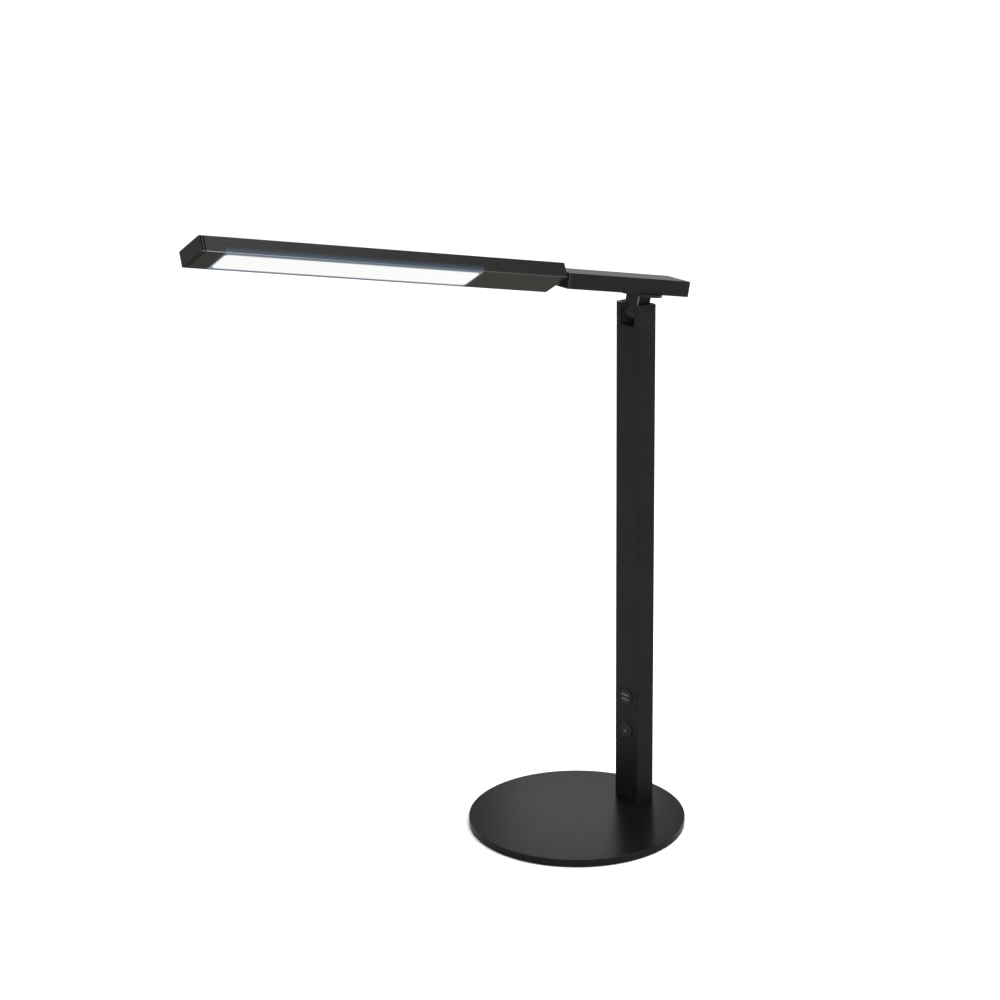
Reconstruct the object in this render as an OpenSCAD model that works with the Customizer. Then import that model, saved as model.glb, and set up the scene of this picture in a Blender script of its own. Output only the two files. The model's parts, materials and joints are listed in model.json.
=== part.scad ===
// Folding LED desk lamp: round weighted base, slim post, tilting and swivelling arm, rolling light head.
// The desk surface is z = 0, the base disc is centred on the origin, and the front of the lamp is -Y.

/* [Base] */
// Diameter of the round base plate
base_d = 186; // [178:1:192]
// Thickness of the steel base plate
plate_t = 6.4; // [6:0.1:7.4]
// Thickness of the non-slip pad under the plate
pad_t = 0.6; // [0.5:0.1:1.2]

/* [Post] */
// Width of the post, arm and head, measured across the lamp
profile_w = 30; // [29.6:0.2:32]
// Depth of the post from front to back
post_d = 17.8; // [16.5:0.1:18]
// Height of the top of the post above the desk
post_top = 449.8; // [447.4:0.4:453]
// Distance of the post's centre behind the base's centre
post_y = 63.4; // [58:0.2:66]
// Wall of the post's tube
post_wall = 1.6; // [1.5:0.1:1.7]

/* [Hinge] */
// Height of the hinge pin above the desk
pivot_z = 442; // [438:0.4:443.6]
// Upward pitch of the arm and head at rest, in degrees
arm_pitch = 11.5; // [0:0.5:20]
// Thickness of the tongue from front to back
tongue_d = 13.4; // [12.8:0.2:14]
// Diameter of the hinge pin
pin_d = 6; // [5:0.2:6.2]

/* [Arm] */
// Thickness of the arm and head
arm_t = 13; // [12.4:0.2:13.4]
// Distance from the hinge pin to the arm's long axis
arm_rise = 23.3; // [23.1:0.1:24.5]
// Reach of the arm ahead of the hinge pin
arm_front = 87.8; // [84:0.2:92]
// Overhang of the arm behind the hinge pin
arm_rear = 40.7; // [36:0.1:44]
// Diameter of the swivel disc
disc_d = 38.6; // [37:0.2:40]

/* [Head] */
// Length of the light head
head_len = 339.6; // [332:0.4:342]
// Roll of the head about its long axis at rest, in degrees
head_roll = 34.2; // [0:0.2:60]
// Gap between arm and head
head_gap = 2.6; // [2.4:0.1:3]
// Length of the lit window
window_len = 233; // [220:1:236]
// Width of the lit window
window_w = 22.8; // [20:0.1:23]
// Distance from the head's tip to the lit window
window_tip = 21.9; // [20:0.1:26]

/* [Buttons] */
// Height of the upper button's centre
button_top_z = 102.1; // [98:0.1:106]
// Height of the lower button's centre
button_low_z = 70.6; // [66:0.1:72]
// Diameter of a button cap
cap_d = 13.2; // [12:0.1:13.6]
// Diameter of the hole round a button
ring_d = 17; // [16.6:0.1:18]

/* [Hidden] */
$fn = 64;
// Clearances: a running fit on the radius, a slip between neighbours, and the overrun of a cut
run_fit = 0.03;
slip = 0.05;
cut = 1;

// Base and post
base_top = pad_t + plate_t;
pad_d = base_d - 5;
edge_r = 0.6;
rim_r = 0.3;
post_in_w = profile_w - 2 * post_wall;
post_in_d = post_d - 2 * post_wall;
post_face = -post_d / 2;
post_in_face = -post_in_d / 2;
foot_h = 16;
foot_screw_x = 4.6;
foot_screw_d = 4;
foot_screw_len = 17;
foot_head_d = 8.4;
foot_head_h = 2.4;
rear_screw_x = 9.5;
cross_screw_d = 3;
cross_screw_len = 9;
cross_head_d = 5.6;
cross_head_h = 1.4;
cross_screw_z = base_top + foot_h / 2;

// Hinge
tongue_w = 17;
tongue_r = 1;
slot_w = tongue_w + 0.5;
slot_floor = pivot_z - 13.5;
rear_notch_floor = pivot_z - 4.8;
sill_top = pivot_z - 10.8;
sill_gap = 0.2;
block_floor_t = 6;
block_top = post_top - 0.3;
block_bottom = slot_floor - block_floor_t;
block_w = post_in_w - 2 * slip;
block_d = post_in_d - 2 * slip;
block_screw_z = slot_floor - block_floor_t / 2 - 0.4;
bush_d = pin_d + 2;
washer_d = 11.6;
washer_t = 1.4;
washer_pocket = 1.2;

// Swivel
shaft_d = 10;
shaft_bore_d = 5;
shaft_bottom = 8.6;
disc_t = 2;
swivel_washer_t = 0.5;
swivel_washer_d = 16;
disc_top = arm_rise - arm_t / 2;
disc_bottom = disc_top - disc_t;
tongue_top = disc_bottom - swivel_washer_t - 2 * slip;
swivel_bush_d = 12.4;
bush_flange_d = 15;
bush_flange_t = 0.8;
swivel_spring_t = 1;
swivel_nut_af = 14;
swivel_nut_t = 3.2;
disc_screw_d = 2.5;
disc_screw_r = 13;
disc_head_d = 4.6;
disc_head_h = 1.3;

// Arm
arm_wall = 1.5;
arm_floor_top = disc_top + arm_wall;
arm_in_w = profile_w - 2 * arm_wall;
arm_in_t = arm_t - 2 * arm_wall;
swivel_spring_z = arm_floor_top + bush_flange_t + slip;
swivel_nut_z = swivel_spring_z + swivel_spring_t + slip;
shaft_top = swivel_nut_z + swivel_nut_t + 0.4;
cap_t = 2.4;
seam = 0.6;
plug_len = 7;
arm_tube_front = arm_front - cap_t - slip;
arm_tube_rear = arm_rear - cap_t - slip;
bearing_len = 18;

// Roll joint, on the arm's long axis
roll_shaft_d = 6;
roll_bore_d = 3.6;
roll_bush_d = 7.6;
roll_washer_d = 11.6;
roll_washer_t = 1.2;
roll_spring_t = 0.8;
roll_nut_d = 9.2;
roll_nut_t = 4;
roll_spring_s = arm_front - bearing_len - roll_spring_t - slip;
roll_nut_s = roll_spring_s - roll_nut_t - slip;
roll_shaft_rear = roll_nut_s - 1;

// Head, measured along the same axis from the hinge pin
head_start = arm_front + head_gap;
head_end = head_start + head_len;
hub_t = head_gap - roll_washer_t - slip;
hub_d = 11;
head_wall = 1.4;
tip_cap_t = 2.9;
tip_lid_t = 0.6;
tip_groove_w = 0.6;
tip_groove_depth = 0.8;
head_in_w = profile_w - 2 * head_wall;
head_in_t = arm_t - 2 * head_wall;
head_tube_start = head_start + cap_t + slip;
head_tube_end = head_end - tip_cap_t - seam;
hub_plug_len = 14;
roll_shaft_front = head_start + cap_t + hub_plug_len;
window_end = head_end - window_tip;
window_start = window_end - window_len;
window_mid = (window_start + window_end) / 2;
window_r = 4;
lens_gap = 0.15;
lens_proud = 0.3;
lens_flange = 1.4;
lens_flange_t = 1;
board_t = 1.2;
led_t = 0.8;
led_l = 3.2;
led_w = 2.8;
led_rows = 2;
led_cols = 22;
led_row_pitch = 9;
frame_wall = 1.2;

// Buttons and control board
button_zs = [button_top_z, button_low_z];
cap_proud = 1.5;
ring_sink = 0.3;
ring_wall_gap = 0.15;
frame_plate_t = 1.4;
frame_plate_w = 24;
frame_plate_over = 13;
cap_gap = 0.2;
lip_over = 0.9;
lip_t = 1;
boss_d = 4;
boss_len = 1.1;
mark_t = 0.4;
mark_bar_l = 8.8;
mark_bar_h = 1.3;
mark_bar_pitch = 4.2;
mark_dash_l = 3.8;
mark_dash_h = 1.3;
frame_back = post_in_face + frame_plate_t;
lip_back = frame_back + lip_t;
pcb_t = 1.6;
pcb_w = 22;
pcb_y = 1.6;
pcb_over = 16;
switch_s = 6;
switch_h = 3;
plunger_d = 3.2;
plunger_h = 0.7;
leg_s = 5;
leg_off = 13;
pcb_screw_d = 2;
pcb_screw_head_d = 3.8;
pcb_screw_head_h = 1.2;

// Power socket in the rear wall
socket_z = 40;
socket_barrel_d = 8;
socket_flange_d = 10.6;
socket_flange_t = 0.8;
socket_bore_d = 5.6;
socket_depth = 8.6;
socket_body_s = 10;
socket_pin_d = 2;
socket_nut_af = 10;
socket_nut_t = 1.6;

// Leads
lead_d = 2.2;
lead_sides = 10;
lead_x = 6;
lead_y = pcb_y + pcb_t + 1.4;
lead_end_z = arm_t / 2 - head_wall - lead_d / 2 - 0.1;
board_over = 5;

// ---- Frames ----

// Post's centre line
module at_post() {
    translate([0, post_y, 0]) children();
}

// Arm frame: origin on the hinge pin, -Y forward along the arm, +Z away from the tongue's end
module at_arm() {
    translate([0, post_y, pivot_z]) rotate([-arm_pitch, 0, 0]) children();
}

// Arm's long axis, still level across the lamp
module at_arm_axis() {
    at_arm() translate([0, 0, arm_rise]) children();
}

// Head frame: the arm's long axis, rolled with the head
module at_head() {
    at_arm_axis() rotate([0, -head_roll, 0]) children();
}

// ---- Shared shapes ----

// Box centred on X and Z that runs forward (-Y) from distance a to distance b
module run_box(w, t, a, b) {
    translate([-w / 2, -b, -t / 2]) cube([w, b - a, t]);
}

// Cylinder along the forward axis from distance a to distance b
module run_rod(d, a, b) {
    translate([0, -a, 0]) rotate([90, 0, 0]) cylinder(d = d, h = b - a);
}

// Cylinder along X, centred on the origin
module cross_rod(d, w) {
    rotate([0, 90, 0]) cylinder(d = d, h = w, center = true);
}

// Rectangle with rounded corners, centred
module rounded_plate(l, w, r, t) {
    linear_extrude(t) union() {
        square([l - 2 * r, w], center = true);
        square([l, w - 2 * r], center = true);
        for (sx = [-1, 1], sy = [-1, 1])
            translate([sx * (l / 2 - r), sy * (w / 2 - r)]) circle(r = r);
    }
}

// Rectangular tube along the forward axis with softened long edges
module profile_tube(w, t, wall, a, b) {
    difference() {
        translate([0, -a, 0]) rotate([90, 0, 0]) rounded_plate(w, t, edge_r, b - a);
        run_box(w - 2 * wall, t - 2 * wall, a - cut, b + cut);
    }
}

// Screw with a flush conical head: head at the origin, shank along -Z
module flush_screw(d, len, head_d, head_h) {
    difference() {
        union() {
            translate([0, 0, -len]) cylinder(d = d, h = len);
            translate([0, 0, -head_h]) cylinder(d1 = d, d2 = head_d, h = head_h);
        }
        translate([0, 0, -head_h / 2]) cylinder(d = d * 0.65, h = head_h, $fn = 6);
    }
}

// Hole that a flush screw sits in, cut a little larger than its head
module flush_hole(d, len, head_d, head_h) {
    translate([0, 0, -len - cut]) cylinder(d = d, h = len + 2 * cut);
    translate([0, 0, -head_h]) cylinder(d1 = d, d2 = head_d + 0.1, h = head_h);
    translate([0, 0, -0.001]) cylinder(d = head_d + 0.1, h = cut);
}

// Hexagonal nut along +Z
module hex_nut(af, bore, t) {
    difference() {
        cylinder(d = af / cos(30), h = t, $fn = 6);
        translate([0, 0, -cut]) cylinder(d = bore, h = t + 2 * cut);
    }
}

// Ring along +Z
module ring(d, bore, t) {
    difference() {
        cylinder(d = d, h = t);
        translate([0, 0, -cut]) cylinder(d = bore, h = t + 2 * cut);
    }
}

// Direction of a lead at one of its points: the mean of the stretches that meet there
function lead_dir(pts, i) =
    let (
        into = i > 0 ? pts[i] - pts[i - 1] : [0, 0, 0],
        away = i < len(pts) - 1 ? pts[i + 1] - pts[i] : [0, 0, 0],
        sum = unit(into) + unit(away)
    )
    unit(sum);

function unit(v) = norm(v) > 0 ? v / norm(v) : v;

// Ring of points round a lead's centre
function lead_ring(centre, dir, d) =
    let (side = unit(cross(dir, [1, 0, 0])), up = cross(dir, side))
    [for (k = [0 : lead_sides - 1])
        let (a = 360 * k / lead_sides) centre + d / 2 * (cos(a) * side + sin(a) * up)];

// Flexible lead swept through a list of points
module lead(pts, d) {
    n = lead_sides;
    last = (len(pts) - 1) * n;
    rings = [for (i = [0 : len(pts) - 1]) each lead_ring(pts[i], lead_dir(pts, i), d)];
    walls = [for (i = [0 : len(pts) - 2], k = [0 : n - 1])
        let (a = i * n + k, b = i * n + (k + 1) % n) each [[a, b, b + n], [a, b + n, a + n]]];
    near = [for (k = [n - 1 : -1 : 0]) k];
    far = [for (k = [0 : n - 1]) last + k];
    polyhedron(rings, concat(walls, [near, far]));
}

// ---- Base and post ----

module base_plate() {
    color("#1b1b1c") difference() {
        rotate_extrude() polygon([
            [0, pad_t], [base_d / 2 - rim_r, pad_t], [base_d / 2, pad_t + rim_r],
            [base_d / 2, base_top - rim_r], [base_d / 2 - rim_r, base_top], [0, base_top]
        ]);
        foot_screw_places() flush_hole(foot_screw_d + 0.4, plate_t, foot_head_d, foot_head_h);
    }
}

module base_pad() {
    color("#2a2a2a") cylinder(d = pad_d, h = pad_t);
}

// Places of the base screws, turned so that their heads lie in the plate's underside
module foot_screw_places() {
    for (sx = [-1, 1])
        translate([sx * foot_screw_x, post_y, pad_t]) rotate([180, 0, 0]) children();
}

module base_screws() {
    color("#8a8a8c") foot_screw_places()
        flush_screw(foot_screw_d, foot_screw_len, foot_head_d, foot_head_h);
}

module foot_block() {
    color("#9a9a9c") difference() {
        at_post() translate([-post_in_w / 2 + slip, -post_in_d / 2 + slip, base_top])
            cube([post_in_w - 2 * slip, post_in_d - 2 * slip, foot_h]);
        foot_screw_places() translate([0, 0, -foot_screw_len - cut])
            cylinder(d = foot_screw_d, h = foot_screw_len + 2 * cut);
        cross_screw_places() translate([0, 0, -cross_screw_len])
            cylinder(d = cross_screw_d, h = cross_screw_len + cut);
    }
}

// Places of rear wall screws at a height, pointing forward into the post
module rear_screw_places(z) {
    at_post() for (sx = [-1, 1])
        translate([sx * rear_screw_x, post_d / 2, z]) rotate([-90, 0, 0]) children();
}

module cross_screw_places() {
    rear_screw_places(cross_screw_z) children();
}

module foot_cross_screws() {
    color("#2b2b2c") cross_screw_places() rear_screw();
}

module rear_screw() {
    flush_screw(cross_screw_d, cross_screw_len - 1, cross_head_d, cross_head_h);
}

module post_tube() {
    color("#1d1d1e") difference() {
        at_post() translate([0, 0, base_top]) difference() {
            rounded_plate(profile_w, post_d, edge_r, post_top - base_top);
            translate([-post_in_w / 2, -post_in_d / 2, -cut])
                cube([post_in_w, post_in_d, post_top - base_top + 2 * cut]);
        }
        at_post() {
            translate([-slot_w / 2, -post_d, slot_floor])
                cube([slot_w, post_d, post_top - slot_floor + cut]);
            translate([-slot_w / 2, 0, rear_notch_floor])
                cube([slot_w, post_d, post_top - rear_notch_floor + cut]);
            for (z = button_zs)
                translate([0, 0, z]) run_rod(ring_d, post_in_d / 2 - cut, post_d / 2 + cut);
            translate([0, 0, socket_z]) run_rod(socket_barrel_d, -post_d / 2 - cut, 0);
        }
        for (z = [cross_screw_z, block_screw_z]) rear_screw_places(z)
            flush_hole(cross_screw_d, cross_screw_len, cross_head_d, cross_head_h);
    }
}

module hinge_block() {
    sill_w = slot_w - 2 * sill_gap;
    color("#232324") difference() {
        at_post() union() {
            translate([-block_w / 2, -block_d / 2, block_bottom])
                cube([block_w, block_d, block_top - block_bottom]);
            translate([-sill_w / 2, post_face, slot_floor + sill_gap])
                cube([sill_w, post_wall + cut, sill_top - slot_floor - sill_gap]);
        }
        at_post() {
            translate([-slot_w / 2, -post_d, sill_top])
                cube([slot_w, 2 * post_d, post_top - sill_top]);
            translate([0, 0, pivot_z]) cross_rod(pin_d, 2 * profile_w);
            translate([0, 0, block_bottom - cut])
                cylinder(d = 5, h = sill_top - block_bottom + 2 * cut);
        }
        rear_screw_places(block_screw_z) translate([0, 0, -cross_screw_len])
            cylinder(d = cross_screw_d, h = cross_screw_len + cut);
    }
}

module hinge_block_screws() {
    color("#2b2b2c") rear_screw_places(block_screw_z) rear_screw();
}

module hinge_pin() {
    color("#b5b5b8") at_post() translate([0, 0, pivot_z]) cross_rod(pin_d, block_w);
}

// ---- Buttons, control board and socket ----

module button_frame() {
    ring_out = ring_d - 2 * ring_wall_gap;
    bore = cap_d + 2 * cap_gap;
    top = button_top_z + frame_plate_over;
    low = button_low_z - frame_plate_over;
    color("#121213") difference() {
        at_post() union() {
            translate([-frame_plate_w / 2, post_in_face, low])
                cube([frame_plate_w, frame_plate_t, top - low]);
            for (z = button_zs)
                translate([0, 0, z]) run_rod(ring_out, -post_in_face, -post_face - ring_sink);
            leg_places() cube([leg_s, pcb_y - frame_back, leg_s]);
        }
        at_post() for (z = button_zs)
            translate([0, 0, z]) run_rod(bore, -frame_back - cut, -post_face + cut);
        board_screw_places() translate([0, 0, -5]) cylinder(d = pcb_screw_d, h = 5 + cut);
    }
}

// Standoff legs between the button frame's plate and the control board
module leg_places() {
    for (z = [button_top_z + leg_off, button_low_z - leg_off])
        translate([-leg_s / 2, frame_back, z - leg_s / 2]) children();
}

module board_screw_places() {
    at_post() for (z = [button_top_z + leg_off, button_low_z - leg_off])
        translate([0, pcb_y + pcb_t, z]) rotate([-90, 0, 0]) children();
}

module control_board() {
    top = button_top_z + pcb_over;
    low = button_low_z - pcb_over;
    color("#1f5a34") difference() {
        at_post() translate([-pcb_w / 2, pcb_y, low]) cube([pcb_w, pcb_t, top - low]);
        board_screw_places() translate([0, 0, -pcb_t - cut])
            cylinder(d = pcb_screw_d, h = pcb_t + 2 * cut);
    }
}

module push_switches() {
    color("#3a3a3c") at_post() for (z = button_zs) translate([0, 0, z]) {
        translate([-switch_s / 2, pcb_y - switch_h, -switch_s / 2])
            cube([switch_s, switch_h, switch_s]);
        run_rod(plunger_d, switch_h - pcb_y, switch_h - pcb_y + plunger_h);
    }
}

module board_screws() {
    color("#8a8a8c") board_screw_places() {
        translate([0, 0, -4.5]) cylinder(d = pcb_screw_d, h = 4.5);
        cylinder(d = pcb_screw_head_d, h = pcb_screw_head_h);
    }
}

module power_socket() {
    rear = post_d / 2;
    color("#151516") difference() {
        at_post() translate([0, 0, socket_z]) union() {
            run_rod(socket_flange_d, -rear - socket_flange_t, -rear);
            run_rod(socket_barrel_d, -rear, -post_in_d / 2 + socket_nut_t + 0.2);
            translate([-socket_body_s / 2, -3, -socket_body_s / 2])
                cube([socket_body_s, 3 + post_in_d / 2 - socket_nut_t - 0.2, socket_body_s]);
        }
        at_post() translate([0, 0, socket_z])
            run_rod(socket_bore_d, -rear - socket_flange_t - cut, -rear + socket_depth);
    }
}

module socket_pin() {
    color("#b9b9bc") at_post() translate([0, 0, socket_z])
        run_rod(socket_pin_d, -post_d / 2 + 0.5, -post_d / 2 + socket_depth);
}

module socket_nut() {
    color("#8a8a8c") at_post()
        translate([0, post_in_d / 2 - socket_nut_t, socket_z]) rotate([-90, 0, 0])
            hex_nut(socket_nut_af, socket_barrel_d, socket_nut_t);
}

module socket_lead() {
    color("#222224") at_post() for (sx = [-1, 1]) lead([
        [sx * 2.5, 0, socket_z + socket_body_s / 2],
        [sx * 2.5, 0, 47],
        [sx * 4, lead_y, 51],
        [sx * 4, lead_y, 58]
    ], 1.6);
}

module post_lead() {
    color("#222224") at_post() lead([
        [lead_x, lead_y, 92],
        [lead_x, lead_y, 122],
        [0, 0, 135],
        [0, 0, sill_top + 1]
    ], lead_d);
}

// ---- Tilt bracket and swivel ----

module tilt_bracket() {
    color("#1c1c1d") at_arm() difference() {
        union() {
            cross_rod(tongue_d, tongue_w);
            rounded_plate(tongue_w, tongue_d, tongue_r, tongue_top);
        }
        cross_rod(bush_d, 2 * tongue_w);
        for (sx = [-1, 1])
            translate([sx * (tongue_w / 2 - washer_pocket + 5), 0, 0]) cross_rod(washer_d + 0.2, 10);
        translate([0, 0, shaft_bottom]) cylinder(d = shaft_d, h = tongue_top);
        translate([0, 0, shaft_bottom - 2.2]) cylinder(d = shaft_bore_d, h = 4);
        translate([0, 0, shaft_bottom - 0.9]) run_rod(2.6, -tongue_d, 0);
    }
}

module hinge_bush() {
    bush_w = tongue_w - 2 * washer_pocket;
    color("#c8b98a") at_arm() difference() {
        cross_rod(bush_d, bush_w);
        cross_rod(pin_d + 2 * run_fit, 2 * bush_w);
    }
}

module hinge_washers() {
    inner = tongue_w / 2 - washer_pocket;
    color("#c9c9cc") at_arm() for (sx = [-1, 1])
        translate([sx * (inner + washer_t / 2), 0, 0]) difference() {
            cross_rod(washer_d, washer_t);
            cross_rod(pin_d + 2 * run_fit, 2 * washer_t);
        }
}

module swivel_shaft() {
    color("#a9a9ac") at_arm() translate([0, 0, shaft_bottom])
        ring(shaft_d, shaft_bore_d, shaft_top - shaft_bottom);
}

module swivel_washer() {
    color("#e6e3da") at_arm() translate([0, 0, tongue_top])
        ring(swivel_washer_d, shaft_d + 2 * run_fit, swivel_washer_t);
}

module swivel_spring() {
    color("#b9b9bc") at_arm() translate([0, 0, swivel_spring_z])
        ring(bush_flange_d, shaft_d, swivel_spring_t);
}

module swivel_nut() {
    color("#9c9ca0") at_arm() translate([0, 0, swivel_nut_z])
        hex_nut(swivel_nut_af, shaft_d, swivel_nut_t);
}

// ---- Arm ----

module disc_screw_places() {
    at_arm() for (a = [45 : 90 : 315])
        rotate([0, 0, a]) translate([disc_screw_r, 0, disc_bottom]) rotate([180, 0, 0]) children();
}

module swivel_disc() {
    color("#1a1a1b") difference() {
        at_arm() translate([0, 0, disc_bottom]) ring(disc_d, swivel_bush_d, disc_t);
        disc_screw_places() flush_hole(disc_screw_d, disc_t, disc_head_d, disc_head_h);
    }
}

module disc_screws() {
    color("#2b2b2c") disc_screw_places()
        flush_screw(disc_screw_d, disc_t + arm_wall, disc_head_d, disc_head_h);
}

module swivel_bush() {
    bore = shaft_d + 2 * run_fit;
    color("#e6e3da") at_arm() {
        translate([0, 0, disc_bottom]) ring(swivel_bush_d, bore, arm_floor_top - disc_bottom);
        translate([0, 0, arm_floor_top]) ring(bush_flange_d, bore, bush_flange_t);
    }
}

module arm_tube() {
    color("#1d1d1e") difference() {
        at_arm_axis() profile_tube(profile_w, arm_t, arm_wall, -arm_tube_rear, arm_tube_front);
        at_arm() translate([0, 0, disc_bottom])
            cylinder(d = swivel_bush_d, h = arm_floor_top - disc_bottom + cut);
        disc_screw_places() translate([0, 0, -disc_t - arm_wall - cut])
            cylinder(d = disc_screw_d, h = arm_wall + 2 * cut);
    }
}

module arm_rear_cap() {
    color("#161617") at_arm_axis() {
        translate([0, arm_rear, 0]) rotate([90, 0, 0]) rounded_plate(profile_w, arm_t, edge_r, cap_t);
        difference() {
            run_box(arm_in_w - 2 * slip, arm_in_t - 2 * slip, -arm_rear + cap_t,
                    -arm_rear + cap_t + plug_len);
            run_box(arm_in_w - 4, arm_in_t - 4, -arm_rear + cap_t,
                    -arm_rear + cap_t + plug_len + cut);
        }
    }
}

module arm_front_cap() {
    color("#161617") at_arm_axis() difference() {
        union() {
            translate([0, -arm_front + cap_t, 0]) rotate([90, 0, 0])
                rounded_plate(profile_w, arm_t, edge_r, cap_t);
            run_box(arm_in_w - 2 * slip, arm_in_t - 2 * slip, arm_front - bearing_len,
                    arm_front - cap_t);
        }
        run_rod(roll_bush_d, arm_front - bearing_len - cut, arm_front + cut);
    }
}

module roll_bush() {
    color("#e6e3da") at_arm_axis() difference() {
        run_rod(roll_bush_d, arm_front - bearing_len, arm_front);
        run_rod(roll_shaft_d + 2 * run_fit, arm_front - bearing_len - cut, arm_front + cut);
    }
}

module arm_lead() {
    color("#222224") at_arm() lead([
        [0, 0, shaft_bottom + 2],
        [0, 0, arm_rise + 2],
        [0, -8, arm_rise + 3],
        [0, -44, arm_rise + 1.5],
        [0, -roll_shaft_rear + 6, arm_rise],
        [0, -roll_shaft_front + 2, arm_rise]
    ], lead_d);
}

// ---- Roll joint and head ----

module roll_washer() {
    color("#c9c9cc") at_head() difference() {
        run_rod(roll_washer_d, arm_front + slip, arm_front + slip + roll_washer_t);
        run_rod(roll_shaft_d, arm_front - cut, head_start + cut);
    }
}

module roll_spring() {
    color("#b9b9bc") at_head() difference() {
        run_rod(roll_nut_d, roll_spring_s, roll_spring_s + roll_spring_t);
        run_rod(roll_shaft_d, roll_spring_s - cut, arm_front);
    }
}

module roll_nut() {
    color("#9c9ca0") at_head() difference() {
        run_rod(roll_nut_d, roll_nut_s, roll_nut_s + roll_nut_t);
        run_rod(roll_shaft_d, roll_nut_s - cut, arm_front);
    }
}

module roll_shaft() {
    color("#a9a9ac") at_head() difference() {
        run_rod(roll_shaft_d, roll_shaft_rear, roll_shaft_front);
        run_rod(roll_bore_d, roll_shaft_rear - cut, roll_shaft_front + cut);
    }
}

module head_inner_cap() {
    color("#161617") at_head() difference() {
        union() {
            run_rod(hub_d, head_start - hub_t, head_start + cap_t);
            translate([0, -head_start, 0]) rotate([90, 0, 0])
                rounded_plate(profile_w, arm_t, edge_r, cap_t);
            run_box(head_in_w - 2 * slip, head_in_t - 2 * slip, head_start + cap_t,
                    head_start + cap_t + hub_plug_len);
        }
        run_rod(roll_shaft_d, head_start - hub_t - cut, roll_shaft_front + cut);
    }
}

module head_tube() {
    color("#1d1d1e") at_head() difference() {
        profile_tube(profile_w, arm_t, head_wall, head_tube_start, head_tube_end);
        window_plate(window_len, window_w, window_r, -arm_t / 2 - cut, -arm_t / 2 + head_wall + cut);
    }
}

// Rounded plate over the lit window, between two heights in the head frame
module window_plate(l, w, r, z0, z1) {
    translate([0, -window_mid, z0]) rotate([0, 0, 90]) rounded_plate(l, w, r, z1 - z0);
}

module head_tip_cap() {
    core_w = profile_w - 2 * tip_groove_depth;
    core_t = arm_t - 2 * tip_groove_depth;
    color("#161617") at_head() {
        run_box(core_w, core_t, head_end - tip_cap_t + tip_groove_w, head_end - tip_lid_t / 2);
        translate([0, -head_end + tip_lid_t, 0]) rotate([90, 0, 0])
            rounded_plate(profile_w, arm_t, edge_r, tip_lid_t);
        translate([0, -head_end + tip_cap_t, 0]) rotate([90, 0, 0])
            rounded_plate(profile_w, arm_t, edge_r, tip_cap_t - tip_lid_t - tip_groove_w);
        difference() {
            run_box(head_in_w - 2 * slip, head_in_t - 2 * slip, head_tube_end - plug_len,
                    head_end - tip_cap_t);
            run_box(head_in_w - 4, head_in_t - 4, head_tube_end - plug_len - cut,
                    head_end - tip_cap_t);
        }
    }
}

module diffuser() {
    inner = -arm_t / 2 + head_wall;
    color("#f4f6f8") at_head() {
        window_plate(window_len - 2 * lens_gap, window_w - 2 * lens_gap, window_r - lens_gap,
                     -arm_t / 2 - lens_proud, inner);
        window_plate(window_len + 2 * lens_flange, window_w + 2 * lens_flange,
                     window_r + lens_flange, inner, inner + lens_flange_t);
    }
}

module reflector_frame() {
    z0 = -arm_t / 2 + head_wall + lens_flange_t;
    z1 = arm_t / 2 - head_wall - board_t;
    l = window_len + 2 * lens_flange;
    w = window_w + 2 * lens_flange;
    color("#f0f0ee") at_head() difference() {
        window_plate(l, w, window_r, z0, z1);
        window_plate(l - 2 * frame_wall, w - 2 * frame_wall, window_r - frame_wall, z0 - cut,
                     z1 + cut);
    }
}

module led_board() {
    top = arm_t / 2 - head_wall;
    color("#d9dbe0") at_head()
        run_slab(window_w, window_start - board_over, window_end, top - board_t, top);
}

// Slab between two distances and two heights in the head frame
module run_slab(w, a, b, z0, z1) {
    translate([-w / 2, -b, z0]) cube([w, b - a, z1 - z0]);
}

module leds() {
    top = arm_t / 2 - head_wall - board_t;
    pitch = window_len / led_cols;
    color("#ffe9a8") at_head() for (r = [0 : led_rows - 1], c = [0 : led_cols - 1])
        translate([(r - (led_rows - 1) / 2) * led_row_pitch, -window_start - (c + 0.5) * pitch,
                   top - led_t / 2])
            cube([led_w, led_l, led_t], center = true);
}

module head_lead() {
    color("#222224") at_head() lead([
        [0, -roll_shaft_front - 1, 0],
        [0, -roll_shaft_front - 20, 0],
        [0, -window_start + board_over + 14, 1.5],
        [0, -window_start + board_over + 5, lead_end_z],
        [0, -window_start + board_over + slip, lead_end_z]
    ], lead_d);
}

// ---- Button caps and their marks ----

module button_cap(z) {
    at_post() translate([0, 0, z]) {
        run_rod(cap_d, -frame_back - slip, -post_face + cap_proud);
        run_rod(cap_d + 2 * lip_over, -lip_back - slip, -frame_back - slip);
        run_rod(boss_d, -lip_back - slip - boss_len, -lip_back - slip);
    }
}

// Light bars inlaid in a cap's face, each [height offset, length, height]
module button_marks(z, bars) {
    face = -post_face + cap_proud;
    at_post() for (b = bars)
        translate([0, 0, z + b[0]]) run_box(b[1], b[2], face - mark_t, face + 0.02);
}

// Cap with pockets that its marks fill
module marked_cap(z, bars) {
    difference() {
        button_cap(z);
        button_marks(z, bars);
    }
}

power_bars = [for (s = [-1, 1]) [s * mark_bar_pitch / 2, mark_bar_l, mark_bar_h]];
mode_bars = [[0, mark_dash_l, mark_dash_h]];

module power_button() {
    color("#3a3b3d") marked_cap(button_top_z, power_bars);
}

module power_mark() {
    color("#e9ecee") button_marks(button_top_z, power_bars);
}

module mode_button() {
    color("#3a3b3d") marked_cap(button_low_z, mode_bars);
}

module mode_mark() {
    color("#e9ecee") button_marks(button_low_z, mode_bars);
}

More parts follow.
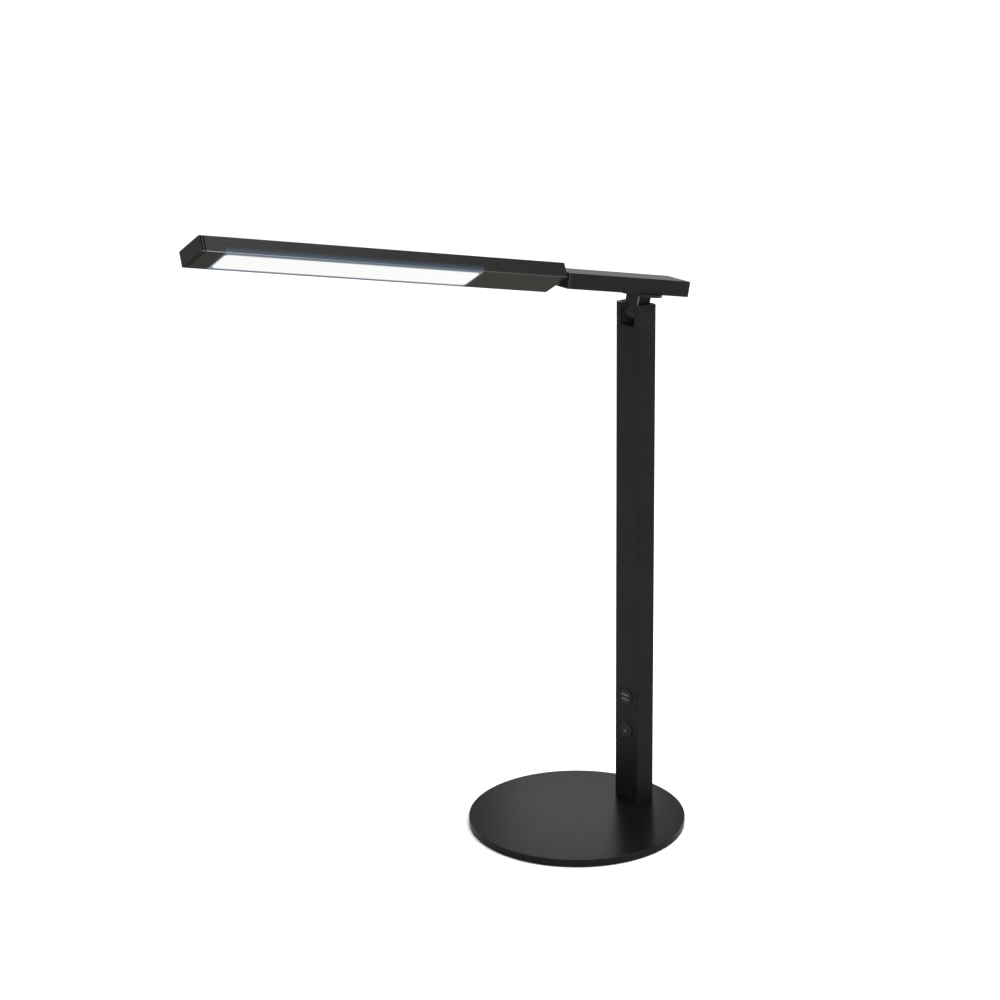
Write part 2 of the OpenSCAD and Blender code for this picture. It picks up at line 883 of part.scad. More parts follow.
base_plate();
base_pad();
base_screws();
foot_block();
foot_cross_screws();
post_tube();
hinge_block();
hinge_block_screws();
hinge_pin();
button_frame();
control_board();
push_switches();
board_screws();
power_socket();
socket_pin();
socket_nut();
socket_lead();
post_lead();
tilt_bracket();
hinge_bush();
hinge_washers();
swivel_shaft();
swivel_washer();
swivel_spring();
swivel_nut();
swivel_disc();
disc_screws();
swivel_bush();
arm_tube();
arm_rear_cap();
arm_front_cap();
roll_bush();
arm_lead();
roll_washer();
roll_spring();
roll_nut();
roll_shaft();
head_inner_cap();
head_tube();
head_tip_cap();
diffuser();
reflector_frame();
led_board();
leds();
head_lead();
power_button();
power_mark();
mode_button();
mode_mark();
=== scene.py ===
# Looks of the folding LED desk lamp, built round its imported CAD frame. Lengths are in metres.
import json
import math

import bmesh
import bpy
from mathutils import Matrix, Vector


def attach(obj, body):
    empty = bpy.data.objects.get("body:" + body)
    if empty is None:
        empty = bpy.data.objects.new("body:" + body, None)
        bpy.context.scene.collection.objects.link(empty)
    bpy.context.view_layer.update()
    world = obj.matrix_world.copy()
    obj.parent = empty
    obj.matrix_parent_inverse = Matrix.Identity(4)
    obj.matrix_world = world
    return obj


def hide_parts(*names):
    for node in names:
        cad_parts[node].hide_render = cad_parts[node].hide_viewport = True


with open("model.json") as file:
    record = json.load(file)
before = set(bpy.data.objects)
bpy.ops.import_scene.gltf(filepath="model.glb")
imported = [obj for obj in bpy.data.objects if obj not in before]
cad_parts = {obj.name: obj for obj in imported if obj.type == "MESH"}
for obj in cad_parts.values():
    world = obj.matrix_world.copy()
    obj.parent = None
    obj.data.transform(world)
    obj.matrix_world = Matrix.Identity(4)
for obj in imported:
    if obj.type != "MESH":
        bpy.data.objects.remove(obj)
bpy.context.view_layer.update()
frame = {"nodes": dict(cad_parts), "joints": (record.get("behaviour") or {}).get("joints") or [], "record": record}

MM = 0.001
SCENE = bpy.context.scene
NODES = frame["nodes"]
JOINTS = {j["name"]: j for j in frame["joints"]}
BODY_OF = {n: b for b, ns in frame["record"]["behaviour"]["bodies"].items() for n in ns}
SLOT_OF = {s["node"]: s["material_slot"] for s in frame["record"]["subparts"]}

# ---- The head's own frame ----
# X across the head, Y back along it, Z out of its top face, and the origin on the roll axis

ACROSS = Vector((1, 0, 0))
FORWARD = Vector(JOINTS["head_roll"]["axis"]).normalized()
NORMAL = Vector(JOINTS["arm_swivel"]["axis"]).normalized()
HEAD_ROLL = math.radians(34.2)


def frame_matrix(origin, x_axis, y_axis, z_axis):
    """Matrix whose columns are three axes and an origin, all in the row frame."""
    turn = Matrix((x_axis, y_axis, z_axis)).transposed()
    return Matrix.Translation(origin) @ turn.to_4x4()


HEAD = frame_matrix(JOINTS["head_roll"]["pos_m"], ACROSS, -FORWARD, NORMAL) \
    @ Matrix.Rotation(-HEAD_ROLL, 4, "Y")


def measure(node, matrix):
    """Lowest and highest corner of a CAD node in the frame that a matrix gives."""
    inverse = matrix.inverted()
    points = [inverse @ v.co for v in NODES[node].data.vertices]
    low = Vector([min(p[i] for p in points) for i in range(3)])
    high = Vector([max(p[i] for p in points) for i in range(3)])
    return low, high


# ---- Levels of the finishes ----

# Painted glow: the window's light painted as emission on the head's finish next to it. Its strength,
# how it fades with distance, how far it reaches, how much faster it ends along the head, and its colour
# far from and near the window
GLOW = 0.36
GLOW_FALL = 1.8
GLOW_REACH = 7.3 * MM
GLOW_END = 2.2
GLOW_FAR = (0.2, 0.58, 1.0)
GLOW_NEAR = (0.75, 0.85, 1.0)

# The lens: its light, and its cooler rim's colour and width. Its flange and its clearance reach
# past the part that shows by the lip.
LENS_WHITE = (0.875, 0.882, 0.86)
LENS_COOL = (0.66, 0.76, 0.9)
LENS_RIM = 0.8 * MM
LENS_LIP = 1.4 * MM + 0.15 * MM

# Cosine between a face's own and its rounded normal above which it counts as flat
FLAT_COSINE = 0.995

# Coats: scale of the slow tone changes, width of the rubbed edges, strength of the grain's relief
BLOTCH = 45.0
RUBBED_RADIUS = 0.6 * MM
COAT_BUMP = 0.35

# Bare metals: scales of the slow dulling and of the machining lines, strength of their relief
METAL_BLOTCH = 160
METAL_GRAIN = 2600
METAL_BUMP = 0.2

# Every black coat: how much paler its paler tone is, the colour of its rubbed edges, the span of
# its roughness, and the scale and depth of its grain
PALER = 1.3
RUBBED = (0.02, 0.02, 0.02)
ROUGH_SPAN = 0.08
GRAIN = 1500
GRAIN_DEPTH = 0.05 * MM

# Black coats: base colour and specular level of each
POST = (0.008, 0.036)
ARMS = (0.0052, 0.083)
TONGUE = (0.0095, 0.058)
PLATE = (0.0033, 0.053)
PLATE_SIDE = (0.0078, 0.025)
UNDER = (0.0095, 0.013)
# Painted shade: the end faces that face each other across the gap between arm and head get their own tone
ENDS = (0.009, 0.07)
# Painted shade inside the head and in the lips beside its seams
GAP = (0.0015, 0.01)
# Painted light: the block in the post's slot is far paler than the coats round it, as if light filled the slot
BLOCK = (0.03, 0.15)
# Painted shade: upward faces inside the post, below its rim, are darker than the post
SLOT = (0.0045, 0.03)
# Painted light: the buttons' side walls are far paler than their caps
BUTTON_SIDE = (0.035, 0.1)
RING = (0.0065, 0.07)

# The same for rounded edges and the post's rim. Those of the arm, the tongue and the head, and the rim,
# are paler than their coats: painted highlights along their light lines. The post's edges differ only in gloss.
POST_EDGE = (0.008, 0.25)
ARM_EDGE = (0.1, 0.65)
TONGUE_EDGE = (0.08, 0.6)
HEAD_EDGE = (0.014, 0.5)
RIM = (0.05, 0.5)

# Painted highlight on the head's edges, paler towards its tip: the base colour that it reaches there,
# and the span of the change on the head's Y axis
TIP_HIGHLIGHT_LEVEL = 0.15
HIGHLIGHT_SPAN = (-440 * MM, -200 * MM)

# Tints of the base's side and of the head's underside, which are warmer than the rest
SIDE_TINT = (1.0, 0.98, 0.88)
UNDER_TINT = (1.06, 0.96, 0.66)

# Least roughness: most faces, the base, the head's underside, rounded edges, small parts, hollows
ROUGH = 0.34
PLATE_ROUGH = 0.26
UNDER_ROUGH = 0.3
EDGE_ROUGH = 0.22
SATIN_ROUGH = 0.4
HOLE_ROUGH = 0.5


# ---- Materials ----

def new_material(name):
    material = bpy.data.materials.new(name)
    material.use_nodes = True
    nodes = material.node_tree.nodes
    return material, nodes, material.node_tree.links, nodes["Principled BSDF"]


def value_ramp(nodes, links, source, low, high, start=0.0, end=1.0):
    """Maps a grey value from start..end to low..high."""
    ramp = nodes.new("ShaderNodeMapRange")
    ramp.inputs["From Min"].default_value = start
    ramp.inputs["From Max"].default_value = end
    ramp.inputs["To Min"].default_value = low
    ramp.inputs["To Max"].default_value = high
    links.new(source, ramp.inputs["Value"])
    return ramp.outputs["Result"]


def noise(nodes, links, coords, scale, detail=2.0, rough=0.5):
    texture = nodes.new("ShaderNodeTexNoise")
    texture.inputs["Scale"].default_value = scale
    texture.inputs["Detail"].default_value = detail
    texture.inputs["Roughness"].default_value = rough
    links.new(coords, texture.inputs["Vector"])
    return texture.outputs["Fac"]


def mix_colours(nodes, links, factor, first, second):
    mix = nodes.new("ShaderNodeMix")
    mix.data_type = "RGBA"
    for socket, colour in (("A", first), ("B", second)):
        target = [s for s in mix.inputs if s.name == socket and s.type == "RGBA"][0]
        if isinstance(colour, bpy.types.NodeSocket):
            links.new(colour, target)
        else:
            target.default_value = (*colour, 1)
    links.new(factor, mix.inputs["Factor"])
    return [s for s in mix.outputs if s.type == "RGBA"][0]


def edge_mask(nodes, links, radius, sharpest):
    """1 within a radius of an edge, where the normals differ, and 0 on a flat."""
    bevel = nodes.new("ShaderNodeBevel")
    bevel.samples = 4
    bevel.inputs["Radius"].default_value = radius
    geometry = nodes.new("ShaderNodeNewGeometry")
    dot = nodes.new("ShaderNodeVectorMath")
    dot.operation = "DOT_PRODUCT"
    links.new(bevel.outputs["Normal"], dot.inputs[0])
    links.new(geometry.outputs["True Normal"], dot.inputs[1])
    return value_ramp(nodes, links, dot.outputs["Value"], 1, 0, sharpest, FLAT_COSINE)


def coat(name, dark, light, edge, rough_low, rough_high, grain, grain_depth, specular):
    """Matt finish with a fine grain, slow tone changes and slightly rubbed edges."""
    material, nodes, links, shader = new_material(name)
    coords = nodes.new("ShaderNodeTexCoord").outputs["Object"]
    slow = noise(nodes, links, coords, BLOTCH, 3, 0.55)
    fine = noise(nodes, links, coords, grain, 2, 0.6)
    tone = mix_colours(nodes, links, value_ramp(nodes, links, slow, 0, 1, 0.3, 0.7), dark, light)
    rubbed = edge_mask(nodes, links, RUBBED_RADIUS, 0.9)
    patchy = nodes.new("ShaderNodeMath")
    patchy.operation = "MULTIPLY"
    links.new(rubbed, patchy.inputs[0])
    links.new(value_ramp(nodes, links, slow, 0.2, 1, 0.35, 0.6), patchy.inputs[1])
    links.new(mix_colours(nodes, links, patchy.outputs[0], tone, edge), shader.inputs["Base Color"])
    links.new(value_ramp(nodes, links, fine, rough_low, rough_high, 0.25, 0.75),
              shader.inputs["Roughness"])
    shader.inputs["Specular IOR Level"].default_value = specular
    bump = nodes.new("ShaderNodeBump")
    bump.inputs["Strength"].default_value = COAT_BUMP
    bump.inputs["Distance"].default_value = grain_depth
    links.new(fine, bump.inputs["Height"])
    links.new(bump.outputs["Normal"], shader.inputs["Normal"])
    return material


def metal(name, colour, dark, rough_low, rough_high):
    """Turned or plated metal with fine machining lines and slight dulling."""
    material, nodes, links, shader = new_material(name)
    coords = nodes.new("ShaderNodeTexCoord").outputs["Object"]
    slow = noise(nodes, links, coords, METAL_BLOTCH, 2, 0.5)
    fine = noise(nodes, links, coords, METAL_GRAIN, 2, 0.6)
    links.new(mix_colours(nodes, links, slow, colour, dark), shader.inputs["Base Color"])
    links.new(value_ramp(nodes, links, fine, rough_low, rough_high, 0.3, 0.7),
              shader.inputs["Roughness"])
    shader.inputs["Metallic"].default_value = 1.0
    bump = nodes.new("ShaderNodeBump")
    bump.inputs["Strength"].default_value = METAL_BUMP
    bump.inputs["Distance"].default_value = 0.02 * MM
    links.new(fine, bump.inputs["Height"])
    links.new(bump.outputs["Normal"], shader.inputs["Normal"])
    return material


def window_distance(nodes, links):
    """Distance from the border of the lit window on the head's own axes, 0 inside it.

    Along the head it counts GLOW_END times, so the glow is shorter past the window's ends."""
    low, high = measure("diffuser", HEAD)
    middle = HEAD @ Vector(((low.x + high.x) / 2, (low.y + high.y) / 2, low.z))
    half = Vector(((high.x - low.x) / 2 - LENS_LIP, (high.y - low.y) / 2 - LENS_LIP, 0))
    coords = nodes.new("ShaderNodeTexCoord").outputs["Object"]
    shift = nodes.new("ShaderNodeVectorMath")
    shift.operation = "SUBTRACT"
    links.new(coords, shift.inputs[0])
    shift.inputs[1].default_value = middle
    join = nodes.new("ShaderNodeCombineXYZ")
    for i, name in enumerate("XYZ"):
        dot = nodes.new("ShaderNodeVectorMath")
        dot.operation = "DOT_PRODUCT"
        links.new(shift.outputs["Vector"], dot.inputs[0])
        dot.inputs[1].default_value = HEAD.to_3x3().col[i]
        links.new(dot.outputs["Value"], join.inputs[name])
    vector = join.outputs["Vector"]
    for operation, value in (("ABSOLUTE", None), ("SUBTRACT", half), ("MAXIMUM", Vector()),
                             ("MULTIPLY", Vector((1, GLOW_END, 1)))):
        step = nodes.new("ShaderNodeVectorMath")
        step.operation = operation
        links.new(vector, step.inputs[0])
        if value is not None:
            step.inputs[1].default_value = value
        vector = step.outputs["Vector"]
    length = nodes.new("ShaderNodeVectorMath")
    length.operation = "LENGTH"
    links.new(vector, length.inputs[0])
    return length.outputs["Value"]


def add_painted_glow(material):
    """Paints the window's light as emission on the finish next to it: a painted glow."""
    nodes, links = material.node_tree.nodes, material.node_tree.links
    shader = nodes["Principled BSDF"]
    near = value_ramp(nodes, links, window_distance(nodes, links), 1, 0, 0, GLOW_REACH)
    fade = nodes.new("ShaderNodeMath")
    fade.operation = "POWER"
    fade.inputs[1].default_value = GLOW_FALL
    links.new(near, fade.inputs[0])
    strength = nodes.new("ShaderNodeMath")
    strength.operation = "MULTIPLY"
    strength.inputs[1].default_value = GLOW
    links.new(fade.outputs[0], strength.inputs[0])
    links.new(mix_colours(nodes, links, near, GLOW_FAR, GLOW_NEAR),
              shader.inputs["Emission Color"])
    links.new(strength.outputs[0], shader.inputs["Emission Strength"])
    return material


def paint_highlight_to_tip(material, level):
    """Paints a highlight on an edge finish, paler from the arm's end of the head towards its tip."""
    nodes, links = material.node_tree.nodes, material.node_tree.links
    shader = nodes["Principled BSDF"]
    tone = shader.inputs["Base Color"].links[0].from_socket
    along = nodes.new("ShaderNodeVectorMath")
    along.operation = "DOT_PRODUCT"
    links.new(nodes.new("ShaderNodeTexCoord").outputs["Object"], along.inputs[0])
    along.inputs[1].default_value = FORWARD
    low, high = sorted((HEAD @ Vector((0, y, 0))).dot(FORWARD) for y in HIGHLIGHT_SPAN)
    highlight_ramp = value_ramp(nodes, links, along.outputs["Value"], 0, 1, low, high)
    links.new(mix_colours(nodes, links, highlight_ramp, tone, [level] * 3), shader.inputs["Base Color"])
    return material


def lit_lens(name):
    """Opal lens lit from inside: even white, a little cooler along its rim.

    All that it shows is its own light, so its base colour is nearly black."""
    material, nodes, links, shader = new_material(name)
    shader.inputs["Base Color"].default_value = (0.002, 0.002, 0.002, 1)
    shader.inputs["Roughness"].default_value = 0.35
    shader.inputs["Specular IOR Level"].default_value = 0.1
    shader.inputs["Emission Strength"].default_value = 1.0
    coords = nodes.new("ShaderNodeTexCoord").outputs["Object"]
    cloud = noise(nodes, links, coords, 60, 3, 0.5)
    white = mix_colours(nodes, links, cloud, LENS_WHITE, [c * 0.985 for c in LENS_WHITE])
    rim = edge_mask(nodes, links, LENS_RIM, 0.8)
    links.new(mix_colours(nodes, links, rim, white, LENS_COOL),
              shader.inputs["Emission Color"])
    return material


def black_coat(name, level, rough=ROUGH, tint=(1, 1, 1)):
    """Fine black powder coat, from a pair of base colour and specular level."""
    tone, gloss = level
    return coat(name, [tone * c for c in tint], [tone * PALER * c for c in tint],
                RUBBED, rough, rough + ROUGH_SPAN, GRAIN, GRAIN_DEPTH, gloss)


# A coat's numbers are its two tones, the colour of its rubbed edges, its least and greatest
# roughness, its grain's scale and depth, and its specular level. A metal's are its two tones and
# its least and greatest roughness.
MATERIALS = {
    "coated_steel": black_coat("coated_steel", PLATE, PLATE_ROUGH),
    "plate_side": black_coat("plate_side", PLATE_SIDE, PLATE_ROUGH, SIDE_TINT),
    "tongue_coat": black_coat("tongue_coat", TONGUE),
    "coated_aluminium": black_coat("coated_aluminium", ARMS),
    "post_coat": black_coat("post_coat", POST),
    "head_coat": add_painted_glow(black_coat("head_coat", ARMS)),
    "head_underside": add_painted_glow(black_coat("head_underside", UNDER, UNDER_ROUGH,
                                          UNDER_TINT)),
    "head_edge_highlight": add_painted_glow(paint_highlight_to_tip(black_coat("head_edge_highlight", HEAD_EDGE, EDGE_ROUGH),
                                      TIP_HIGHLIGHT_LEVEL)),
    "rim_highlight": black_coat("rim_highlight", RIM, EDGE_ROUGH),
    "post_edge": black_coat("post_edge", POST_EDGE, EDGE_ROUGH),
    "arm_edge_highlight": black_coat("arm_edge_highlight", ARM_EDGE, EDGE_ROUGH),
    "tongue_edge_highlight": black_coat("tongue_edge_highlight", TONGUE_EDGE, EDGE_ROUGH),
    "button_side_painted_light": black_coat("button_side_painted_light", BUTTON_SIDE, SATIN_ROUGH),
    "end_painted_shade": black_coat("end_painted_shade", ENDS),
    "gap_painted_shade": black_coat("gap_painted_shade", GAP, HOLE_ROUGH),
    "slot_painted_shade": black_coat("slot_painted_shade", SLOT, HOLE_ROUGH),
    "black_block": black_coat("black_block", BLOCK, SATIN_ROUGH),
    "black_steel": coat("black_steel", (0.015, 0.015, 0.016), (0.025, 0.025, 0.026),
                        (0.08, 0.08, 0.08), 0.35, 0.5, 1800, 0.02 * MM, 0.5),
    "black_plastic": coat("black_plastic", (0.005, 0.005, 0.005), (0.0065, 0.0065, 0.0065),
                          (0.02, 0.02, 0.02), 0.34, 0.44, 2200, 0.03 * MM, 0.087),
    "ring_plastic": black_coat("ring_plastic", RING, SATIN_ROUGH),
    "button_grey": coat("button_grey", (0.005, 0.005, 0.0052), (0.007, 0.007, 0.0072),
                        (0.02, 0.02, 0.02), 0.36, 0.46, 2400, 0.02 * MM, 0.08),
    "mark_white": coat("mark_white", (0.07, 0.071, 0.073), (0.095, 0.096, 0.099),
                       (0.14, 0.14, 0.14), 0.4, 0.5, 2400, 0.01 * MM, 0.2),
    "pad_rubber": coat("pad_rubber", (0.02, 0.02, 0.02), (0.035, 0.035, 0.035),
                       (0.05, 0.05, 0.05), 0.8, 0.95, 900, 0.15 * MM, 0.2),
    "lead_jacket": coat("lead_jacket", (0.015, 0.015, 0.016), (0.022, 0.022, 0.023),
                        (0.03, 0.03, 0.03), 0.55, 0.7, 1500, 0.02 * MM, 0.3),
    "white_plastic": coat("white_plastic", (0.8, 0.8, 0.79), (0.86, 0.86, 0.85),
                          (0.9, 0.9, 0.9), 0.45, 0.6, 1500, 0.02 * MM, 0.4),
    "bearing_plastic": coat("bearing_plastic", (0.75, 0.73, 0.68), (0.82, 0.8, 0.75),
                            (0.85, 0.84, 0.8), 0.35, 0.5, 1500, 0.02 * MM, 0.4),
    "board_green": coat("board_green", (0.02, 0.12, 0.05), (0.03, 0.16, 0.07),
                        (0.2, 0.22, 0.15), 0.3, 0.45, 700, 0.03 * MM, 0.5),
    "led_yellow": coat("led_yellow", (0.85, 0.7, 0.3), (0.9, 0.78, 0.4),
                       (0.9, 0.85, 0.7), 0.35, 0.5, 1500, 0.02 * MM, 0.4),
    "bare_steel": metal("bare_steel", (0.62, 0.62, 0.63), (0.5, 0.5, 0.51), 0.25, 0.4),
    "bare_aluminium": metal("bare_aluminium", (0.8, 0.8, 0.82), (0.68, 0.68, 0.7), 0.3, 0.45),
    "bearing_bronze": metal("bearing_bronze", (0.6, 0.42, 0.22), (0.48, 0.33, 0.17), 0.4, 0.55),
    "opal_lens": lit_lens("opal_lens"),
}


# ---- Pieces made from the frame's own solids ----

# Angle between faces up to which a piece shades smoothly across their edge
SMOOTH_ANGLE = math.radians(32)

# Rounded edges: from what angle an edge is rounded, and in how many steps
EDGE_ANGLE = math.radians(40)
EDGE_SEGMENTS = 3

# Least part of a face's normal along an axis for the face to count as facing that way
FACING = 0.9

# Finishes that differ from their slot's own on one node
FINISH = {
    "post_tube": "post_coat", "tilt_bracket": "tongue_coat", "swivel_disc": "tongue_coat",
    "button_frame": "ring_plastic", "head_tube": "head_coat", "head_tip_cap": "head_coat",
    "head_inner_cap": "head_coat",
}

# Further finishes on one node, painted highlights and painted shade among them, in the order of the
# indices that the face rules below give
HEAD_FINISHES = ["head_underside", "head_edge_highlight", "gap_painted_shade", "end_painted_shade"]
MORE_FINISHES = {
    "post_tube": ["post_edge", "slot_painted_shade", "rim_highlight"],
    "arm_front_cap": ["arm_edge_highlight", "end_painted_shade"],
    "tilt_bracket": ["tongue_edge_highlight"],
    "hinge_block": ["post_coat"],
    "base_plate": ["plate_side"],
    "power_button": ["button_side_painted_light"],
    "mode_button": ["button_side_painted_light"],
    "head_tube": HEAD_FINISHES,
    "head_tip_cap": HEAD_FINISHES,
    "head_inner_cap": HEAD_FINISHES,
}

# Nodes whose rounded edges get the first of their further finishes, which is a painted highlight on
# the arm's front cap and the tongue
EDGE_FINISHED = ("post_tube", "arm_front_cap", "tilt_bracket")

# Height above which an upward face of the post belongs to the rim round its top
POST_RIM = max(v.co.z for v in NODES["post_tube"].data.vertices) - 2 * MM


def button_face(face):
    """0 on the front and back of a button's cap, 1 round it, where the side wall's paler tone is painted light."""
    return 0 if abs(face.normal.y) > FACING else 1


def post_face(face):
    """3 for the rim round the top, with its painted highlight, 2 for painted shade on upward faces lower down, 0
    elsewhere.
    """
    if face.normal.z <= FACING:
        return 0
    return 3 if face.calc_center_median().z > POST_RIM else 2


# Rules that give a face its index: 0 for the node's own finish, or one of its further finishes,
# painted highlights and painted shade among them
FACE_RULES = {
    "post_tube": post_face,
    # the end face towards the head gets painted shade
    "arm_front_cap": lambda face: 2 if face.normal.dot(FORWARD) > FACING else 0,
    # the tongue's rounded upright edges get the painted highlight
    "tilt_bracket": lambda face: 1 if 0.2 < abs(face.normal.x) < 0.95 else 0,
    "hinge_block": lambda face: 1 if face.normal.y < -FACING else 0,
    "base_plate": lambda face: 1 if abs(face.normal.z) < 0.5 else 0,
    "power_button": button_face,
    "mode_button": button_face,
}

# The seams near the head's tip: how far from the tip they lie, and how wide the lip of painted shade
# on each side of a seam is
SEAM_ZONE = (0.2 * MM, 8 * MM)
SEAM_SHADE = 0.25 * MM

# Half width and half thickness of the head within which a face is inside it, how far from its
# middle the long edges lie at least, and the part of a normal above which a face is square to
# the head
HEAD_INSIDE = (14.7 * MM, 6.2 * MM)
HEAD_EDGE_X = 14 * MM
SQUARE = 0.995


def paint_head(node, solid):
    """Gives the head's faces their finish, and cuts the lips beside its seams. Its long rounded edges get a
    painted highlight; the faces inside it, the lips and the inner cap's end face get painted shade.
    """
    turn = HEAD.to_3x3().transposed()
    inverse = HEAD.inverted()
    tip = measure("head_tip_cap", HEAD)[0].y
    walls = {round((inverse @ f.calc_center_median()).y, 5) for f in solid.faces
             if abs((turn @ f.normal).y) > FACING}
    seams = [y for y in walls if tip + SEAM_ZONE[0] < y < tip + SEAM_ZONE[1]]
    for y in seams:
        for side in (-SEAM_SHADE, SEAM_SHADE):
            bmesh.ops.bisect_plane(solid, geom=[*solid.verts, *solid.edges, *solid.faces],
                                   plane_co=HEAD @ Vector((0, y + side, 0)), plane_no=FORWARD)
    for face in solid.faces:
        normal = turn @ face.normal
        middle = inverse @ face.calc_center_median()
        deep = abs(middle.x) < HEAD_INSIDE[0] and abs(middle.z) < HEAD_INSIDE[1]
        rounded = max(abs(c) for c in normal) < SQUARE and abs(normal.y) < 0.01
        if normal.z < -FACING:
            face.material_index = 1
        # the long rounded edges get the painted highlight
        if rounded and abs(middle.x) > HEAD_EDGE_X:
            face.material_index = 2
        # painted shade inside the head and beside its seams
        if deep and abs(normal.y) < 0.5 or any(abs(middle.y - y) < SEAM_SHADE for y in seams):
            face.material_index = 3
        # the inner cap's end face towards the arm gets painted shade
        if node == "head_inner_cap" and normal.y > FACING:
            face.material_index = 4


def dress(node, name, edge):
    """Stands for a CAD node: the same solid as one clean mesh, with every hard edge rounded."""
    body = BODY_OF[node]
    slot = SLOT_OF[node]
    mesh = bpy.data.meshes.new(name)
    solid = bmesh.new()
    solid.from_mesh(NODES[node].data)
    bmesh.ops.remove_doubles(solid, verts=solid.verts, dist=1e-6)
    bmesh.ops.dissolve_limit(solid, angle_limit=math.radians(1.0), verts=solid.verts,
                             edges=solid.edges)
    for face in solid.faces:
        face.smooth = True
    for e in solid.edges:
        e.smooth = e.calc_face_angle(0) < SMOOTH_ANGLE
    finish = FINISH.get(node, slot)
    if finish == "head_coat":
        paint_head(node, solid)
    if node in FACE_RULES:
        for face in solid.faces:
            face.material_index = FACE_RULES[node](face)
    solid.to_mesh(mesh)
    solid.free()
    piece = bpy.data.objects.new(name, mesh)
    SCENE.collection.objects.link(piece)
    for key in (finish, *MORE_FINISHES.get(node, ())):
        mesh.materials.append(MATERIALS[key])
    bevel = piece.modifiers.new("round", "BEVEL")
    bevel.width = edge
    bevel.segments = EDGE_SEGMENTS
    bevel.limit_method = "ANGLE"
    bevel.angle_limit = EDGE_ANGLE
    bevel.use_clamp_overlap = True
    bevel.harden_normals = False
    # rounded edges of the nodes above get their first further finish, a painted highlight on arm cap and tongue
    bevel.material = 1 if node in EDGE_FINISHED else -1
    shade = piece.modifiers.new("shade", "WEIGHTED_NORMAL")
    shade.keep_sharp = True
    shade.weight = 80
    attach(piece, body)
    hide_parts(node)


# The nodes that are dressed: the piece's name, and the width of its rounded edges
DRESSED = {
    "base_plate": ("base_disc", 0.3 * MM),
    "base_pad": ("desk_pad", 0.2 * MM),
    "post_tube": ("post_shell", 0.25 * MM),
    "hinge_block": ("slot_block", 0.25 * MM),
    "button_frame": ("button_rings", 0.2 * MM),
    "power_socket": ("rear_socket", 0.2 * MM),
    "tilt_bracket": ("tilt_tongue", 0.3 * MM),
    "swivel_disc": ("swivel_plate", 0.25 * MM),
    "arm_tube": ("arm_shell", 0.15 * MM),
    "arm_rear_cap": ("arm_back_end", 0.25 * MM),
    "arm_front_cap": ("arm_front_end", 0.4 * MM),
    "head_inner_cap": ("head_inner_end", 0.25 * MM),
    "head_tube": ("head_shell", 0.15 * MM),
    "head_tip_cap": ("head_tip_end", 0.25 * MM),
    "diffuser": ("light_window", 0.3 * MM),
    "power_button": ("upper_button", 0.4 * MM),
    "mode_button": ("lower_button", 0.4 * MM),
}

for node, (name, edge) in DRESSED.items():
    dress(node, name, edge)

for node, obj in NODES.items():
    if node not in DRESSED:
        obj.data.materials.clear()
        obj.data.materials.append(MATERIALS[SLOT_OF[node]])

# ---- Floor, light and camera ----

FLOOR_SIZE = 14.0
FLOOR_WHITE = (0.95, 0.95, 0.95)


def plain(name, colour, rough):
    """Matt paint with hardly any change of tone."""
    material, nodes, links, shader = new_material(name)
    coords = nodes.new("ShaderNodeTexCoord").outputs["Object"]
    fine = noise(nodes, links, coords, 30, 2, 0.5)
    links.new(mix_colours(nodes, links, fine, colour, [c * 0.995 for c in colour]),
              shader.inputs["Base Color"])
    shader.inputs["Roughness"].default_value = rough
    shader.inputs["Specular IOR Level"].default_value = 0.1
    return material


def floor():
    bpy.ops.mesh.primitive_plane_add(size=FLOOR_SIZE, location=(0, 0, 0))
    plane = bpy.context.object
    plane.name = "studio_floor"
    plane.data.materials.append(plain("studio_floor", FLOOR_WHITE, 0.9))


def add_light(data, place, aim):
    """Puts a light in the scene, turned towards a point, and returns it."""
    lamp = bpy.data.objects.new(data.name, data)
    lamp.location = place
    lamp.rotation_euler = (Vector(aim) - Vector(place)).to_track_quat("-Z", "Y").to_euler()
    SCENE.collection.objects.link(lamp)
    return lamp


def area_light(name, place, aim, size, power):
    """Rectangular softbox that the camera doesn't see."""
    data = bpy.data.lights.new(name, "AREA")
    data.shape = "RECTANGLE"
    data.size, data.size_y = size
    data.energy = power
    add_light(data, place, aim).visible_camera = False


def sun_light(name, place, angle, strength):
    """Very broad overhead light that falls evenly on the whole floor."""
    data = bpy.data.lights.new(name, "SUN")
    data.angle = math.radians(angle)
    data.energy = strength
    add_light(data, place, (0, 0, 0))


# Sky: its strength low down and high up, and the heights between which it changes
SKY_LOW = 1.15
SKY_HIGH = 0.35
SKY_BAND = (0.1, 0.45)

# Overhead light: its strength, the place that it shines from towards the origin, and its breadth
SUN = 2.5
SUN_PLACE = (0.15, 0.1, 3.0)
SUN_ANGLE = 60

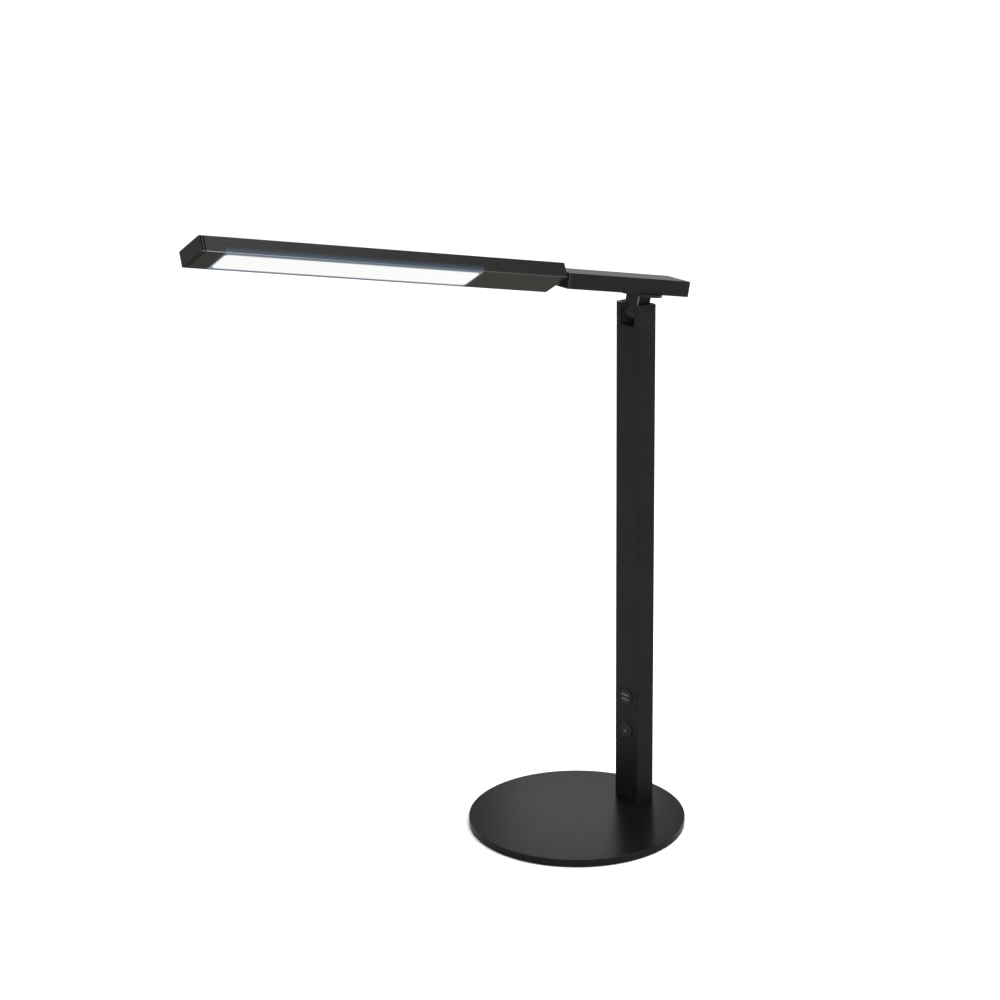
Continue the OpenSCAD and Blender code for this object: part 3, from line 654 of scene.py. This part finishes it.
# Softboxes: name, place, point it faces, size and power
SOFTBOXES = [
    # lights the top of the arm
    ("rear_softbox", (0.755, 0.55, 1.725), (0, -0.3, 0.5), (0.8, 0.8), 21),
    # shows as a soft reflection in the base
    ("back_softbox", (-0.36, 0.281, 0.209), (0, 0, 0), (0.16, 0.09), 0.135),
    # lights the faces that are turned to the camera
    ("front_strip", (1.5, -2.0, 0.5), (0, -0.1, 0.4), (0.5, 0.9), 7),
    # gives the head's edges their light line
    ("edge_strip", (1.22, 0.48, 0.73), (0, -0.36, 0.55), (0.12, 0.4), 2.5),
]


def studio():
    world = bpy.data.worlds.new("studio")
    SCENE.world = world
    world.use_nodes = True
    nodes, links = world.node_tree.nodes, world.node_tree.links
    background = nodes["Background"]
    background.inputs["Color"].default_value = (1, 1, 1, 1)
    direction = nodes.new("ShaderNodeTexCoord").outputs["Generated"]
    split = nodes.new("ShaderNodeSeparateXYZ")
    links.new(direction, split.inputs["Vector"])
    links.new(value_ramp(nodes, links, split.outputs["Z"], SKY_LOW, SKY_HIGH, *SKY_BAND),
              background.inputs["Strength"])
    sun_light("overhead_light", SUN_PLACE, SUN_ANGLE, SUN)
    for softbox in SOFTBOXES:
        area_light(*softbox)


# Camera, as fitted to the photo. Yaw turns it from +Y, pitch lifts it and roll turns it about
# its own axis. The focal length is in pixels of the picture.
CAMERA_PLACE = Vector((1.666591, -1.289472, 0.964174))
CAMERA_YAW = math.radians(-53.9838)
CAMERA_PITCH = math.radians(-17.7057)
CAMERA_ROLL = math.radians(-0.6782)
FOCAL_PX = 2662.275
FRAME_PX = 1000
SENSOR = 36.0
CLIP = (0.05, 50)


def camera():
    aim = Vector((math.cos(CAMERA_PITCH) * math.sin(CAMERA_YAW),
                  math.cos(CAMERA_PITCH) * math.cos(CAMERA_YAW),
                  math.sin(CAMERA_PITCH)))
    level = Vector((math.cos(CAMERA_YAW), -math.sin(CAMERA_YAW), 0))
    above = level.cross(aim)
    right = level * math.cos(CAMERA_ROLL) + above * math.sin(CAMERA_ROLL)
    up = above * math.cos(CAMERA_ROLL) - level * math.sin(CAMERA_ROLL)
    data = bpy.data.cameras.new("camera")
    data.sensor_width = SENSOR
    data.lens = FOCAL_PX / FRAME_PX * SENSOR
    data.clip_start, data.clip_end = CLIP
    view = bpy.data.objects.new("camera", data)
    view.matrix_world = frame_matrix(CAMERA_PLACE, right, up, -aim)
    SCENE.collection.objects.link(view)
    SCENE.camera = view


floor()
studio()
camera()
SCENE.view_settings.view_transform = "Standard"
SCENE.view_settings.look = "None"
